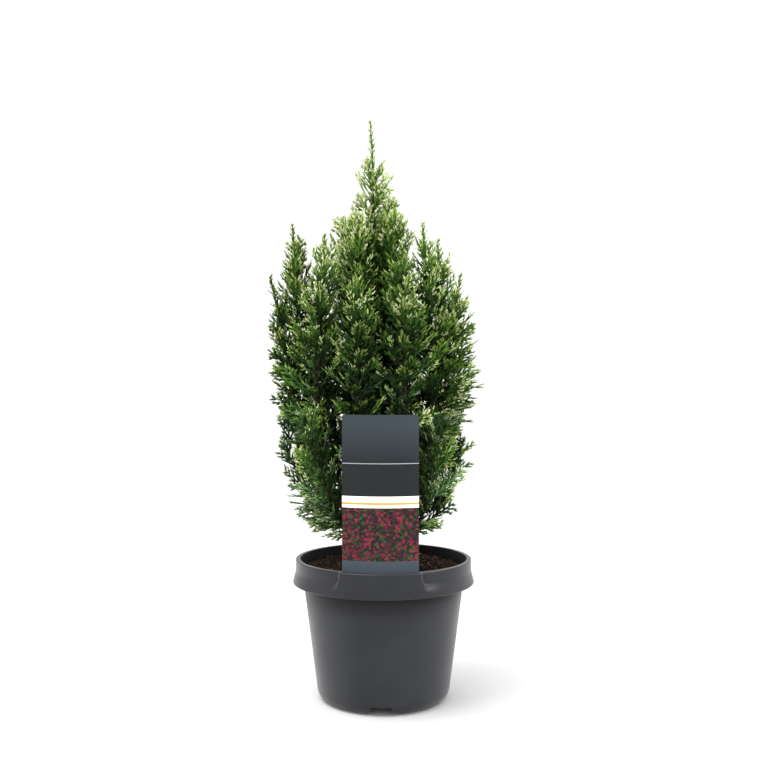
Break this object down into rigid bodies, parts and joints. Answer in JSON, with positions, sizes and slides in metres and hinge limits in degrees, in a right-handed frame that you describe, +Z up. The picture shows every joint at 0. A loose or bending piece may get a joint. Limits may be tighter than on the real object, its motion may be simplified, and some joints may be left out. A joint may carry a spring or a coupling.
{
  "type": "potted conifer",
  "caption": "Young cypress with upright leaders and scale foliage, rooted in a round nursery pot with a flared collar, drain notches and a plain label in a front pocket.",
  "frame": {"origin": "middle of the pot's underside, where its central foot rests on the ground", "axes": "+Z up through the pot's axis, the label pocket and the front of the plant towards -Y, +X to the right"},
  "size_m": [0.2391, 0.208, 0.6068],
  "materials": {
    "pot_plastic": "satin",
    "peat": "matte",
    "label_card": "satin",
    "bark": "matte",
    "foliage": "satin"
  },
  "bodies": {
    "root": {"pot": "pot_plastic", "soil": "peat", "plant_label": "label_card", "stem": "bark", "bough_leader_far_left": "bark", "bough_leader_left": "bark", "bough_leader_left_front": "bark", "bough_leader_front_left": "bark", "bough_leader_front_right": "bark", "bough_leader_right_front": "bark", "bough_leader_far_right": "bark", "bough_leader_right": "bark", "bough_leader_low_right": "bark", "bough_leader_back_right": "bark", "bough_leader_back": "bark", "bough_leader_back_left": "bark", "bough_skirt_1": "bark", "bough_skirt_2": "bark", "bough_skirt_3": "bark", "bough_skirt_4": "bark", "bough_skirt_5": "bark", "bough_skirt_6": "bark", "bough_skirt_7": "bark", "bough_skirt_8": "bark", "foliage_leader_far_left": "foliage", "foliage_leader_left": "foliage", "foliage_leader_left_front": "foliage", "foliage_leader_front_left": "foliage", "foliage_leader_front_right": "foliage", "foliage_leader_right_front": "foliage", "foliage_leader_far_right": "foliage", "foliage_leader_right": "foliage", "foliage_leader_low_right": "foliage", "foliage_leader_back_right": "foliage", "foliage_leader_back": "foliage", "foliage_leader_back_left": "foliage", "foliage_skirt_1": "foliage", "foliage_skirt_2": "foliage", "foliage_skirt_3": "foliage", "foliage_skirt_4": "foliage", "foliage_skirt_5": "foliage", "foliage_skirt_6": "foliage", "foliage_skirt_7": "foliage", "foliage_skirt_8": "foliage", "foliage_shoulder_1": "foliage", "foliage_shoulder_2": "foliage", "foliage_shoulder_3": "foliage", "foliage_shoulder_4": "foliage", "foliage_top": "foliage"}
  },
  "joints": []
}
